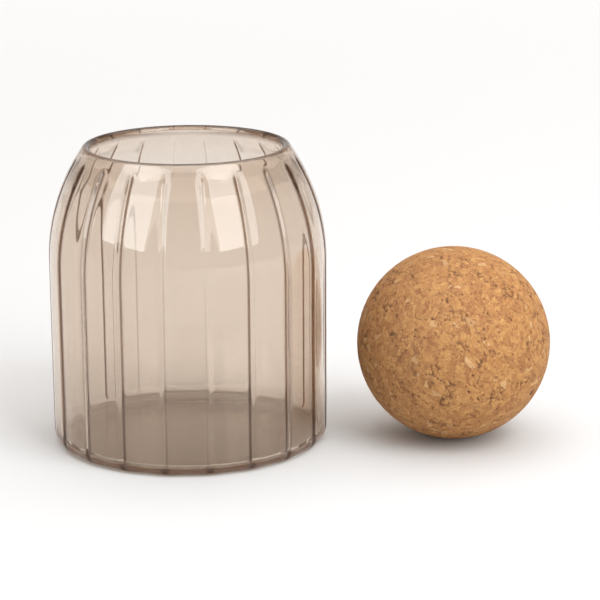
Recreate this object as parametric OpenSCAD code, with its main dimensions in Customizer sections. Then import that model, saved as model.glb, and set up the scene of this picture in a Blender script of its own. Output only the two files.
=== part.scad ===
// Glass storage jar with a round shoulder, narrow upright grooves and a loose cork ball for a lid.
// Millimetres, +Z up. The origin is on the jar's axis, on the surface that it stands on.
// The ball stands beside the jar, towards +X.

/* [Jar] */
// Outside diameter of the straight body
body_d = 120; // [106:1:140]
// Height from the foot to the top of the lip
jar_h = 130; // [110:1:160]
// Thickness of the side wall and the shoulder
wall = 2.5; // [1.8:0.1:3.2]
// Height of the inside floor above the foot
floor_h = 3; // [2.5:0.5:6]
// Radius of the shoulder's arc, seen from the side
shoulder_r = 85; // [65:1:100]
// Radius of the outside corner between the wall and the foot
heel_r = 5; // [4:0.5:6]
// Radius of the inside corner between the wall and the floor
inside_r = 4; // [3:0.5:8]

/* [Foot] */
// Width of the flat ring that the jar stands on
foot_w = 9; // [5:0.5:14]
// Rise of the hollow under the floor, at its middle
foot_hollow = 1; // [0.5:0.1:1.5]

/* [Mouth] */
// Clear diameter inside the lip
mouth_d = 82; // [74:0.5:88]
// Thickness of the rounded lip
lip_t = 3.8; // [3.4:0.1:5]

/* [Grooves] */
// Number of grooves round the jar
groove_count = 20; // [8:1:30]
// Width of a groove at the surface
groove_w = 2.6; // [1.6:0.1:3.2]
// Depth of a groove
groove_depth = 1; // [0.5:0.1:1.2]
// Angle of the first groove from +X, in degrees
groove_start = 11.5; // [0:0.5:20]
// Height of the plain collar between the grooves and the top of the lip
collar_h = 4.5; // [3.5:0.5:14]
// Height of the groove's lower end above the foot
groove_foot = 2; // [1.5:0.1:3]

/* [Ball] */
// Extra radius of the ball over the mouth, which keeps it from falling in
lid_overlap = 1; // [0.5:0.1:4]
// Gap between the jar and the ball that stands beside it
stand_gap = 13; // [5:0.5:40]

/* [Hidden] */
$fn = 96;
body_r = body_d / 2;
inner_r = body_r - wall;
// The lip is a round bead that ends the wall
lip_r = lip_t / 2;
lip_ring_r = mouth_d / 2 + lip_r;
lip_z = jar_h - lip_r;
// The shoulder's arc leaves the straight wall upright and runs into the outside of the lip
arc_x = body_r - shoulder_r;
arc_z = lip_z - sqrt(pow(shoulder_r - lip_r, 2) - pow(lip_ring_r - arc_x, 2));
arc_end = atan2(lip_z - arc_z, lip_ring_r - arc_x);
// The foot ring lies just inside the heel, round a shallow dome
foot_in = body_r - heel_r - foot_w;
dome_r = (pow(foot_in, 2) + pow(foot_hollow, 2)) / (2 * foot_hollow);
// A groove runs up the heel, the straight wall and the shoulder, to these angles on the two arcs
cut_out = 2;
groove_top = asin((jar_h - collar_h - arc_z) / shoulder_r);
groove_low = asin((heel_r - groove_foot) / heel_r);
// The ball lid
ball_r = mouth_d / 2 + lid_overlap;
ball_x = body_r + stand_gap + ball_r;

// Pie slice of the plane from angle 0 to the given angle
module sector(angle, reach) {
    corner = reach / cos(angle / 2);
    polygon([
        [0, 0],
        [reach, 0],
        corner * [cos(angle / 2), sin(angle / 2)],
        reach * [cos(angle), sin(angle)]
    ]);
}

// Filled half outline from the given height up to the foot of the shoulder
module upright_outline(r, base, corner) {
    translate([0, base]) square([r - corner, corner]);
    translate([0, base + corner]) square([r, arc_z - base - corner]);
    translate([r - corner, base + corner]) intersection() {
        circle(corner);
        translate([0, -corner]) square(corner);
    }
}

// Half section of the shoulder, from the straight wall to the middle of the lip
module shoulder_section() {
    translate([arc_x, arc_z]) intersection() {
        difference() {
            circle(shoulder_r, $fn = 360);
            circle(shoulder_r - wall, $fn = 360);
        }
        sector(arc_end, 2 * shoulder_r);
    }
}

// Half section of the whole jar, before its grooves
module jar_section() {
    difference() {
        upright_outline(body_r, 0, heel_r);
        upright_outline(inner_r, floor_h, inside_r);
    }
    shoulder_section();
    translate([lip_ring_r, lip_z]) circle(lip_r);
}

// Part of a ring that reaches from the groove's floor to just outside the given radius
module groove_arc(r, angle) {
    intersection() {
        difference() {
            circle(r + cut_out, $fn = 360);
            circle(r - groove_depth, $fn = 360);
        }
        sector(angle, 2 * r + cut_out);
    }
}

// The space that one groove takes, a flat-sided slot that follows the outline of the jar
module groove_slot() {
    rotate([90, 0, 0]) linear_extrude(groove_w, center = true) {
        translate([body_r - heel_r, heel_r]) mirror([0, 1]) groove_arc(heel_r, groove_low);
        translate([body_r - groove_depth, heel_r])
            square([groove_depth + cut_out, arc_z - heel_r]);
        translate([arc_x, arc_z]) groove_arc(shoulder_r, groove_top);
    }
}

module glass_jar() {
    color([0.78, 0.66, 0.55, 0.45]) difference() {
        rotate_extrude($fn = 180) jar_section();
        translate([0, 0, foot_hollow - dome_r]) sphere(dome_r, $fn = 180);
        for (i = [0 : groove_count - 1])
            rotate([0, 0, groove_start + i * 360 / groove_count]) groove_slot();
    }
}

module cork_ball_lid() {
    color([0.77, 0.56, 0.36]) translate([ball_x, 0, ball_r]) sphere(ball_r);
}

glass_jar();
cork_ball_lid();
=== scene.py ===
import math

import bmesh
import bpy
from mathutils import Matrix, Vector, noise


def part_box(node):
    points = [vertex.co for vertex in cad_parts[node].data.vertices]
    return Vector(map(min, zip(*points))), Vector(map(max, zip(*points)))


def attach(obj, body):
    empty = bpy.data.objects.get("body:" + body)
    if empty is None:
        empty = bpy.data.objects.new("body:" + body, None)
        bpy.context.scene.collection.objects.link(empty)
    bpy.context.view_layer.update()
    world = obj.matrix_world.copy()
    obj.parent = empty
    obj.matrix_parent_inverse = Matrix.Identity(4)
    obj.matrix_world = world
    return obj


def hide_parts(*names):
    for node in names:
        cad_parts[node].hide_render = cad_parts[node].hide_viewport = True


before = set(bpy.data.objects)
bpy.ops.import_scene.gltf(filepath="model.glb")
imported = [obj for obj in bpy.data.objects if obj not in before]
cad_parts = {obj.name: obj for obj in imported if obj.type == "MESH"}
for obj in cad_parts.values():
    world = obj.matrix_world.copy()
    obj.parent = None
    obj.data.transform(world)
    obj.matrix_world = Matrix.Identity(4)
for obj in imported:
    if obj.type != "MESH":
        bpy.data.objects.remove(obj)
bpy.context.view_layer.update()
scene = bpy.context.scene


# The camera comes first, at the photograph's angle
cameraSet = {
    "place": (0.07135, -0.93696, 0.31540),
    "lens": 134.17,  # for the usual 36 mm sensor and a square picture
    "turn": 1.41,  # degrees about Z
    "tilt": 74.81,  # degrees up from straight down
    "roll": -0.287,
}


def makeCamera(c):
    lens = bpy.data.cameras.new("studio_camera")
    lens.lens = c["lens"]
    camera = bpy.data.objects.new("studio_camera", lens)
    scene.collection.objects.link(camera)
    stand = Matrix.Translation(c["place"])
    for key, axis in (("turn", "Z"), ("tilt", "X"), ("roll", "Z")):
        stand = stand @ Matrix.Rotation(math.radians(c[key]), 4, axis)
    camera.matrix_world = stand
    scene.camera = camera


makeCamera(cameraSet)
print("camera placed")


# Shader maths as plain sums
class Wire:  # one output of a node
    def __init__(self, finish, socket):
        self.finish = finish
        self.socket = socket

    def maths(self, operation, first, second, clamp=False):
        return self.finish.add("ShaderNodeMath", {"operation": operation, "use_clamp": clamp},
                               {0: first, 1: second})

    def __add__(self, other):
        return self.maths("ADD", self, other)

    __radd__ = __add__

    def __sub__(self, other):
        return self.maths("SUBTRACT", self, other)

    def __rsub__(self, other):
        return self.maths("SUBTRACT", other, self)

    def __mul__(self, other):
        return self.maths("MULTIPLY", self, other)

    __rmul__ = __mul__

    def clamp(self):
        return self.maths("ADD", self, 0.0, clamp=True)

    def above(self, start, gain):  # 0 up to the start, then it rises to 1
        return ((self - start) * gain).clamp()


class Finish:  # the nodes of one material, or of the room
    def __init__(self, owner):
        owner.use_nodes = True
        self.owner = owner
        self.tree = owner.node_tree
        self.output = next(n for n in self.tree.nodes if "Surface" in n.inputs)
        self.surface = self.output.inputs["Surface"].links[0].from_node

    def feed(self, node, inputs):
        for key, value in inputs.items():
            if isinstance(value, Wire):
                self.tree.links.new(value.socket, node.inputs[key])
            else:
                node.inputs[key].default_value = value

    def add(self, kind, settings, inputs, result=0):
        node = self.tree.nodes.new(kind)
        for key, value in settings.items():
            if key == "stops":
                self.setStops(node.color_ramp, value)
            else:
                setattr(node, key, value)
        self.feed(node, inputs)
        return Wire(self, node.outputs[result])

    def setStops(self, ramp, stops):
        while len(ramp.elements) < len(stops):
            ramp.elements.new(1.0)
        for element, (place, colour) in zip(ramp.elements, stops):
            element.position = place
            element.color = (*colour, 1.0)

    def mix(self, factor, first, second):  # 6, 7 and result 2 are the Mix node's colour sockets
        return self.add("ShaderNodeMix", {"data_type": "RGBA"}, {0: factor, 6: first, 7: second}, 2)

    def ease(self, value, start, end):
        return self.add("ShaderNodeMapRange", {"interpolation_type": "SMOOTHSTEP"},
                        {0: value, 1: start, 2: end})

    def part(self, colour, channel):
        return self.add("ShaderNodeSeparateColor", {}, {0: colour}, channel)

    def cells(self, where, scale, **settings):
        result = "Distance" if settings else "Color"
        return self.add("ShaderNodeTexVoronoi", settings, {"Vector": where, "Scale": scale}, result)

    def spin(self, where, axis, angle):
        return self.add("ShaderNodeVectorRotate", {"rotation_type": "AXIS_ANGLE"},
                        {"Vector": where, "Axis": axis, "Angle": angle})

    def grain(self, where, scale, detail, rough=0.5, result="Fac"):
        return self.add("ShaderNodeTexNoise", {},
                        {"Vector": where, "Scale": scale, "Detail": detail, "Roughness": rough}, result)


# The jar: its outline is spun, then the grooves are pressed into the outside
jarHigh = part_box("glass_jar")[1]
jar = {
    "skin": 0.00002,  # keeps the mesh just inside the solid's box
    "wall": 0.0025,
    "floorHeight": 0.003,
    "heelR": 0.005,
    "insideR": 0.004,
    "footWidth": 0.009,
    "footHollow": 0.001,
    "shoulderR": 0.085,
    "mouthR": 0.041,
    "lipR": 0.0019,
    "lipEnd": 205,  # where the round lip starts to thin down into the wall, in degrees
    "thinTo": 12,  # degrees of the shoulder's arc that the thinning takes
    "thinPull": 0.006,
    "panelDip": 0.0007,  # the foot is flatter between two grooves
    "panelTop": 0.014,
    "stepsPerGroove": 24,
    "steps": {"hollow": 8, "foot": 4, "heel": 12, "wall": 10, "shoulder": 34, "lip": 18, "thinning": 8,
              "innerShoulder": 16, "innerWall": 6, "corner": 10, "floor": 7},
}
groove = {
    "count": 20,
    "first": 11.5,  # degrees from +X
    "coreWidth": 0.0011,
    "coreDepth": 0.00052,
    "softWidth": 0.0028,
    "softDepth": 0.00015,
    "top": 0.1262,
    "foot": 0.0022,
    "topFade": 0.003,
    "footFade": 0.0011,
    "rimShadeShare": 0.22,  # how much of the painted groove shade the lip has
    "gather": 0.3,  # the size of the steps at a groove, next to even ones
    "gatherPower": 1.5,
}
zones = {"plain": 0, "lip": 1, "grooved": 2}  # of the jar's surface


def arc(centre, radius, start, end, steps):
    angles = [math.radians(start + (end - start) * i / steps) for i in range(steps + 1)]
    return [Vector((centre[0] + radius * math.cos(a), 0, centre[1] + radius * math.sin(a)))
            for a in angles]


def between(first, second, steps):  # the points inside a straight stretch
    return [first.lerp(second, i / steps) for i in range(1, steps)]


def curve(ends, pulls, steps):  # a smooth join between two points, each with its direction
    made = []
    for i in range(1, steps):
        t = i / steps
        made.append(ends[0] * (1 - t) ** 3 + (ends[0] + pulls[0]) * 3 * t * (1 - t) ** 2
                    + (ends[1] + pulls[1]) * 3 * t * t * (1 - t) + ends[1] * t ** 3)
    return made


def along(angle, length):  # the direction in which an arc runs on, at this angle
    a = math.radians(angle)
    return Vector((-math.sin(a), 0, math.cos(a))) * length


def shoulderArc(j):  # its centre, the lip's centre, and the angle where the two arcs meet
    lipX = j["mouthR"] + j["lipR"]
    lipZ = jarHigh.z - j["skin"] - j["lipR"]
    arcX = jarHigh.x - j["skin"] - j["shoulderR"]
    arcZ = lipZ - math.sqrt((j["shoulderR"] - j["lipR"]) ** 2 - (lipX - arcX) ** 2)
    return (arcX, arcZ), (lipX, lipZ), math.degrees(math.atan2(lipZ - arcZ, lipX - arcX))


def outerOutline(j, steps):
    arcCentre, lipCentre, arcEnd = shoulderArc(j)
    base = j["skin"]
    bodyR = jarHigh.x - j["skin"]
    footOut = bodyR - j["heelR"]
    footIn = footOut - j["footWidth"]
    hollowR = (footIn ** 2 + j["footHollow"] ** 2) / (2 * j["footHollow"])
    hollowEnd = math.degrees(math.asin(footIn / hollowR))

    under = arc((0, base + j["footHollow"] - hollowR), hollowR, 90, 90 - hollowEnd, steps["hollow"])
    under += between(Vector((footIn, 0, base)), Vector((footOut, 0, base)), steps["foot"])
    outside = arc((footOut, base + j["heelR"]), j["heelR"], -90, 0, steps["heel"])
    outside += between(outside[-1], Vector((bodyR, 0, arcCentre[1])), steps["wall"])
    outside += arc(arcCentre, j["shoulderR"], 0, arcEnd, steps["shoulder"])
    lip = arc(lipCentre, j["lipR"], arcEnd, j["lipEnd"], steps["lip"])[1:]
    return under, outside, lip


def innerOutline(j, steps, lipPoint):
    arcCentre, _, arcEnd = shoulderArc(j)
    innerR = jarHigh.x - j["skin"] - j["wall"]
    flatR = innerR - j["insideR"]
    floorZ = j["skin"] + j["floorHeight"]
    thinned = arcEnd - j["thinTo"]

    inside = arc(arcCentre, j["shoulderR"] - j["wall"], thinned, 0, steps["innerShoulder"])
    pulls = (along(j["lipEnd"], j["thinPull"]), along(thinned, j["thinPull"]))
    joined = curve((lipPoint, inside[0]), pulls, steps["thinning"])
    inside += between(inside[-1], Vector((innerR, 0, floorZ + j["insideR"])), steps["innerWall"])
    inside += arc((flatR, floorZ + j["insideR"]), j["insideR"], 0, -90, steps["corner"])
    middle = Vector((0, 0, floorZ))
    inside += between(inside[-1], middle, steps["floor"]) + [middle]
    return joined + inside


def smooth(t):
    t = min(1.0, max(0.0, t))
    return t * t * (3 - 2 * t)


def bell(distance, width):
    return math.exp(-(distance / width) ** 2)


def pressGrooves(bm, zone, pressed, j, g):
    pitch = 360 / g["count"]
    arcX, arcZ = shoulderArc(j)[0]
    heelX = jarHigh.x - j["skin"] - j["heelR"]
    for v in bm.verts:
        r = math.hypot(v.co.x, v.co.y)
        if r < j["skin"]:  # on the axis
            continue
        phase = (math.degrees(math.atan2(v.co.y, v.co.x)) - g["first"]) / pitch
        middle = round(phase)
        off = phase - middle
        off *= g["gather"] + (1 - g["gather"]) * abs(2 * off) ** g["gatherPower"]
        around = math.radians(g["first"] + (middle + off) * pitch)
        if v[zone] == zones["grooved"]:
            r -= j["panelDip"] * math.sin(off * math.pi) ** 2 * smooth(1 - v.co.z / j["panelTop"])
            across = abs(off * math.radians(pitch)) * r
            core = bell(across, g["coreWidth"])
            ends = smooth((g["top"] - v.co.z) / g["topFade"])
            ends *= smooth((v.co.z - g["foot"]) / g["footFade"] + 1)
            depth = ends * (g["coreDepth"] * core + g["softDepth"] * bell(across, g["softWidth"]))
            # the mask for the painted groove shade
            v[pressed] = core * ends
            out = Vector((1, 0))
            if v.co.z > arcZ:
                out = Vector((r - arcX, v.co.z - arcZ)).normalized()
            elif v.co.z < j["heelR"]:
                out = Vector((r - heelX, v.co.z - j["heelR"])).normalized()
            r -= out.x * depth
            v.co.z -= out.y * depth
        elif v[zone] == zones["lip"]:
            # painted shade: the lip gets a share of the groove shade, so its aslant edge reads dark
            # brown
            v[pressed] = g["rimShadeShare"]
        v.co.x = r * math.cos(around)
        v.co.y = r * math.sin(around)


def finishPiece(bm, name):
    for f in bm.faces:
        f.smooth = True
    mesh = bpy.data.meshes.new(name)
    bm.to_mesh(mesh)
    bm.free()
    piece = bpy.data.objects.new(name, mesh)
    scene.collection.objects.link(piece)
    return piece


def makeJar(j, g):
    under, outside, lip = outerOutline(j, j["steps"])
    inside = innerOutline(j, j["steps"], lip[-1])
    bm = bmesh.new()
    zone = bm.verts.layers.int.new("zone")
    verts = []
    for points, kind in ((under, "plain"), (outside, "grooved"), (lip, "lip"), (inside, "plain")):
        for p in points:
            v = bm.verts.new(p)
            v[zone] = zones[kind]
            verts.append(v)
    edges = [bm.edges.new(pair) for pair in zip(verts, verts[1:])]
    bmesh.ops.spin(bm, geom=verts + edges, cent=(0, 0, 0), axis=(0, 0, 1), angle=2 * math.pi,
                   steps=g["count"] * j["stepsPerGroove"], use_merge=True)
    bmesh.ops.remove_doubles(bm, verts=bm.verts, dist=1e-6)
    bmesh.ops.recalc_face_normals(bm, faces=bm.faces)
    pressed = bm.verts.layers.float.new("pressed")
    zone = bm.verts.layers.int["zone"]
    pressGrooves(bm, zone, pressed, j, g)
    bm.verts.layers.int.remove(zone)
    return finishPiece(bm, "jar_glass")


glassSet = {
    "tint": (0.881, 0.819, 0.760),
    # The groove colour below is painted shade: a dark brown laid on the groove flanks as they turn
    # aslant, for the dark lines that bent light draws there
    "grooveShade": (0.12, 0.058, 0.03),
    "coreShare": 0.6,  # of that painted shade in the middle of a groove, next to its flanks
    "shadeFrom": 0.125,  # seen straight on, a groove keeps the plain tint; seen aslant it takes the painted shade
    "shadeGain": 8,
    "ior": 1.5,
    "roughness": 0.01,
    "absorbColour": (0.6, 0.4, 0.2),
    "absorbDensity": 60.0,
    "paintedGlow": (1.0, 0.84, 0.67),  # painted glow: the glass gives off this brown light itself, for the light that runs round inside the wall
    "paintedGlowStrength": 3.2,
    "ripple": 0.02,
    "rippleScale": 45.0,
    "rippleHeight": 0.001,
}


def glassFinish(g):
    glass = Finish(bpy.data.materials.new("tinted_glass"))
    place = glass.add("ShaderNodeTexCoord", {}, {}, "Object")
    ripple = glass.grain(place, g["rippleScale"], 1.0)
    bump = glass.add("ShaderNodeBump", {}, {"Height": ripple, "Strength": g["ripple"],
                                            "Distance": g["rippleHeight"]})
    pressed = glass.add("ShaderNodeAttribute", {"attribute_name": "pressed"}, {}, "Fac")
    flank = (pressed * (1 - pressed) * 4).clamp()  # 1 halfway down a groove's side
    facing = glass.add("ShaderNodeLayerWeight", {}, {"Blend": 0.5}, "Facing")
    # painted shade: the grooves are darkened, the more the more aslant they are seen
    paintedShade = (flank + pressed * g["coreShare"]).clamp() * facing.above(g["shadeFrom"], g["shadeGain"])
    glass.feed(glass.surface, {
        "Base Color": glass.mix(paintedShade, (*g["tint"], 1.0), (*g["grooveShade"], 1.0)),
        "Roughness": g["roughness"],
        "IOR": g["ior"],
        "Transmission Weight": 1.0,
        "Normal": bump,
    })
    absorb = glass.add("ShaderNodeVolumeAbsorption", {}, {"Color": (*g["absorbColour"], 1.0),
                                                          "Density": g["absorbDensity"]})
    # painted glow: the glass's volume emits light, so the dark streaks in the wall turn brown
    paintedGlow = glass.add("ShaderNodeEmission", {}, {"Color": (*g["paintedGlow"], 1.0),
                                                   "Strength": g["paintedGlowStrength"]})
    glass.feed(glass.output, {"Volume": glass.add("ShaderNodeAddShader", {}, {0: absorb, 1: paintedGlow})})
    return glass.owner


jarPiece = makeJar(jar, groove)
jarPiece.data.materials.append(glassFinish(glassSet))
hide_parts("glass_jar")
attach(jarPiece, "jar")
print("jar made,", len(jarPiece.data.polygons), "faces")


# The ball: a cube blown up to a sphere, with crumbled pits
ballLow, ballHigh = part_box("cork_ball_lid")
ball = {
    "seed": 3,  # of the bends in the cracks
    "cuts": 125,
    "skin": 0.00003,
    "chip": 0.0034,  # the size of a granule between the cracks
    "bend": 0.0009,  # how far the cracks are bent
    "bendSize": 0.003,
    "crackWidth": 0.16,
    "patch": 0.006,  # the size of a crumbled patch
    "patchFrom": 0.2,
    "patchFade": 0.3,
    "crumb": 0.0021,  # the spacing of the round holes
    "holeSize": 0.3,
    "holeFade": 0.12,
    "holePatch": 0.0027,
    "holeFrom": 0.1,
    "holePatchFade": 0.2,
    "pitDepth": 0.0006,
    "grainSize": 0.0011,
    "grainDepth": 0.00012,
}


def pitAt(at, b):  # 0 on the plain surface, 1 at the bottom of a pit
    bent = at + noise.noise_vector(at / b["bendSize"]) * b["bend"]
    near = noise.voronoi(bent / b["chip"])[0]
    crack = smooth(1 - (near[1] - near[0]) / b["crackWidth"])
    crumbled = smooth((noise.noise(at / b["patch"]) - b["patchFrom"]) / b["patchFade"])
    crumb = noise.voronoi(at / b["crumb"])[0]
    hole = smooth((b["holeSize"] - crumb[0]) / b["holeFade"])
    hole *= smooth((noise.noise(at / b["holePatch"]) - b["holeFrom"]) / b["holePatchFade"])
    return max(crack * crumbled, hole)


def makeBall(b):
    centre = (ballLow + ballHigh) / 2
    radius = (ballHigh.z - ballLow.z) / 2 - b["skin"]
    noise.seed_set(b["seed"])
    bm = bmesh.new()
    bmesh.ops.create_cube(bm, size=2)
    bmesh.ops.subdivide_edges(bm, edges=bm.edges, cuts=b["cuts"], use_grid_fill=True)
    pitted = bm.verts.layers.float.new("pitted")
    for v in bm.verts:
        out = Vector([math.tan(c * math.pi / 4) for c in v.co]).normalized()  # evens out the squares
        at = out * radius
        v[pitted] = pitAt(at, b)
        grain = 0.5 + 0.5 * noise.noise(at / b["grainSize"])
        v.co = centre + out * (radius - b["pitDepth"] * v[pitted] - b["grainDepth"] * grain)
    bmesh.ops.recalc_face_normals(bm, faces=bm.faces)
    return finishPiece(bm, "cork_ball")


corkSet = {
    "lump": 110.0,  # groups in a metre, whose granules lie one way
    "granule": 370.0,  # granules in a metre
    "fibre": 1500.0,
    "fleck": 900.0,
    "speck": 1100.0,
    "cluster": 330.0,  # where the specks and the dark seams gather
    "blotch": 60.0,
    "stir": 0.0035,  # metres that the whole pattern is pushed about
    "stirScale": 190.0,
    "turned": 6.28,  # radians that granules and fibres are turned, at most
    "lumpAxis": (0.35, 0.85, 0.4),
    "fibreAxis": (0.6, 0.5, 0.62),
    "granuleShape": (0.6, 1.0, 1.4),
    "fibreShape": (1.0, 0.28, 0.6),
    "toneShares": {"granule": 0.42, "fibre": 0.8, "fleck": 1.2, "blotch": 0.1, "drop": 0.815},
    "heightShares": {"tone": 0.6, "seam": 0.4, "speck": 0.6},
    "tones": ((0.0, (0.21, 0.074, 0.030)), (0.2, (0.32, 0.136, 0.046)), (0.5, (0.43, 0.207, 0.068)),
              (0.78, (0.51, 0.267, 0.092)), (0.96, (0.63, 0.395, 0.17))),
    "pale": (0.66, 0.45, 0.23),
    "paleFrom": 0.96,  # one granule in 25 is pale
    "paleGain": 50,
    "paleShare": 0.42,
    "seam": (0.24, 0.10, 0.042),
    "seamSharp": 20,
    "seamFrom": 0.38,
    "seamGain": 4,
    "seamShare": 0.7,
    "dark": (0.10, 0.038, 0.018),
    "speckCluster": 1.1,
    "speckFrom": 1.5,
    "speckGain": 6,
    "speckShare": 0.6,
    "pitShadeShare": 0.85,
    "relief": 0.5,
    "reliefHeight": 0.0004,
    "roughness": 0.75,
    "shine": 0.35,
}


def corkFinish(c):
    cork = Finish(bpy.data.materials.new("cork"))
    place = cork.add("ShaderNodeTexCoord", {}, {}, "Object")
    stir = cork.grain(place, c["stirScale"], 2.0, result="Color")
    moved = cork.add("ShaderNodeVectorMath", {"operation": "MULTIPLY_ADD"},
                     {0: stir, 1: (c["stir"],) * 3, 2: place}, "Vector")

    # Granules lie one way within a lump, and each has its own shade and its own fibres
    lay = cork.part(cork.cells(moved, c["lump"]), "Red")
    leant = cork.spin(moved, c["lumpAxis"], lay * c["turned"])
    flat = cork.add("ShaderNodeMapping", {}, {"Vector": leant, "Scale": c["granuleShape"]})
    granule = cork.cells(flat, c["granule"])
    edge = cork.cells(flat, c["granule"], feature="DISTANCE_TO_EDGE")
    turned = cork.spin(moved, c["fibreAxis"], cork.part(granule, "Green") * c["turned"])
    drawn = cork.add("ShaderNodeMapping", {}, {"Vector": turned, "Scale": c["fibreShape"]})
    fibre = cork.grain(drawn, c["fibre"], 3.0, 0.6)
    fleck = cork.grain(moved, c["fleck"], 3.0, 0.7)
    blotch = cork.grain(place, c["blotch"], 4.0)
    share = c["toneShares"]
    tone = (cork.part(granule, "Red") * share["granule"] + fibre * share["fibre"]
            + fleck * share["fleck"] + blotch * share["blotch"] - share["drop"])
    colour = cork.add("ShaderNodeValToRGB", {"stops": c["tones"]}, {0: tone})
    rare = cork.part(granule, "Blue").above(c["paleFrom"], c["paleGain"])
    colour = cork.mix(rare * c["paleShare"], colour, (*c["pale"], 1.0))

    # Dark seams and specks, and pits darkened with painted shade
    cluster = cork.grain(place, c["cluster"], 2.0)
    seam = (1 - edge * c["seamSharp"]).clamp() * cluster.above(c["seamFrom"], c["seamGain"])
    colour = cork.mix(seam * c["seamShare"], colour, (*c["seam"], 1.0))
    speckPick = cork.part(cork.cells(moved, c["speck"]), "Blue")
    speck = (speckPick + cluster * c["speckCluster"]).above(c["speckFrom"], c["speckGain"])
    colour = cork.mix(speck * c["speckShare"], colour, (*c["dark"], 1.0))
    pitted = cork.add("ShaderNodeAttribute", {"attribute_name": "pitted"}, {}, "Fac")
    # painted shade: the pits are darkened, the more the deeper they go
    colour = cork.mix(pitted * c["pitShadeShare"], colour, (*c["dark"], 1.0))

    share = c["heightShares"]
    height = tone * share["tone"] - seam * share["seam"] - speck * share["speck"]
    bump = cork.add("ShaderNodeBump", {}, {"Height": height, "Strength": c["relief"],
                                           "Distance": c["reliefHeight"]})
    cork.feed(cork.surface, {
        "Base Color": colour,
        "Roughness": c["roughness"],
        "Specular IOR Level": c["shine"],
        "Normal": bump,
    })
    return cork.owner


ballPiece = makeBall(ball)
ballPiece.data.materials.append(corkFinish(corkSet))
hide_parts("cork_ball_lid")
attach(ballPiece, "ball_lid")
print("ball made,", len(ballPiece.data.polygons), "faces")


# Floor, softboxes and the room's own light
studio = {
    "floorSize": 12.0,
    "floorColour": (0.69, 0.70, 0.71),
    "floorGlow": 0.3,  # of the far floor, which the softboxes don't reach
    "glowFade": (0.1, 2.4),  # metres from the middle
    "roomLow": (0.8, 0.79, 0.77),
    "roomHigh": (0.38, 0.33, 0.29),  # from overhead
    "roomFade": (0.05, 0.55),
    "overhead": {"size": 6.0, "height": 3.5, "back": 0.6, "glow": 1.55},
    "bounces": 28,  # light turns many times inside thick glass
    "aim": (0.05, 0, 0.06),  # of the softboxes
    "softboxes": (
        {"name": "softbox_left", "azimuth": -52.5, "away": 1.5, "width": 1.4, "height": 1.75, "low": 0.2,
         "glow": 4.1, "colour": (0.86, 0.95, 1.0), "lights": False},  # it is only mirrored in the glass
        {"name": "softbox_right", "azimuth": 46, "away": 1.5, "width": 1.2, "height": 1.75, "low": 0.2,
         "glow": 4.2, "colour": (0.95, 0.985, 1.0), "lights": True},
    ),
}


def makeFloor(s):
    bm = bmesh.new()
    bmesh.ops.create_grid(bm, x_segments=1, y_segments=1, size=s["floorSize"] / 2)
    floor = finishPiece(bm, "studio_floor")
    paint = Finish(bpy.data.materials.new("pale_floor"))
    place = paint.add("ShaderNodeTexCoord", {}, {}, "Object")
    away = paint.add("ShaderNodeVectorMath", {"operation": "LENGTH"}, {0: place}, "Value")
    colour = (*s["floorColour"], 1.0)
    paint.feed(paint.surface, {
        "Base Color": colour,
        "Roughness": 0.9,
        "Specular IOR Level": 0.0,
        "Emission Color": paint.mix(paint.ease(away, *s["glowFade"]), (0, 0, 0, 1), colour),
        "Emission Strength": s["floorGlow"],
    })
    floor.data.materials.append(paint.owner)


def makePanel(name, width, height, glow):  # the glow is the panel's brightness, whatever its size
    light = bpy.data.lights.new(name, "AREA")
    light.shape = "RECTANGLE"
    light.size = width
    light.size_y = height
    light.energy = glow * math.pi * width * height
    panel = bpy.data.objects.new(name, light)
    scene.collection.objects.link(panel)
    panel.visible_camera = False
    return panel


def makeSoftbox(box, aim):
    softbox = makePanel(box["name"], box["width"], box["height"], box["glow"])
    softbox.data.color = box["colour"]
    softbox.visible_diffuse = box["lights"]
    side = math.radians(box["azimuth"] + cameraSet["turn"])
    place = Vector((math.sin(side), -math.cos(side), 0)) * box["away"]
    place.z = box["low"] + box["height"] / 2
    facing = (Vector(aim) - place).to_track_quat("-Z", "Y").to_matrix().to_4x4()
    softbox.matrix_world = Matrix.Translation(place) @ facing


def makeOverhead(o):
    overhead = makePanel("overhead", o["size"], o["size"], o["glow"])
    overhead.matrix_world = Matrix.Translation((0, o["back"], o["height"]))


def makeRoom(s):
    room = Finish(bpy.data.worlds.new("studio_room"))
    way = room.add("ShaderNodeTexCoord", {}, {}, "Generated")
    up = room.add("ShaderNodeSeparateXYZ", {}, {0: way}, "Z")
    colour = room.mix(room.ease(up, *s["roomFade"]), (*s["roomLow"], 1.0), (*s["roomHigh"], 1.0))
    room.feed(room.surface, {"Color": colour})
    scene.world = room.owner


makeFloor(studio)
for box in studio["softboxes"]:
    makeSoftbox(box, studio["aim"])
makeOverhead(studio["overhead"])
makeRoom(studio)
scene.view_settings.view_transform = "Standard"
for kind in ("max_bounces", "glossy_bounces", "transmission_bounces"):
    setattr(scene.cycles, kind, studio["bounces"])
print("stage lit")
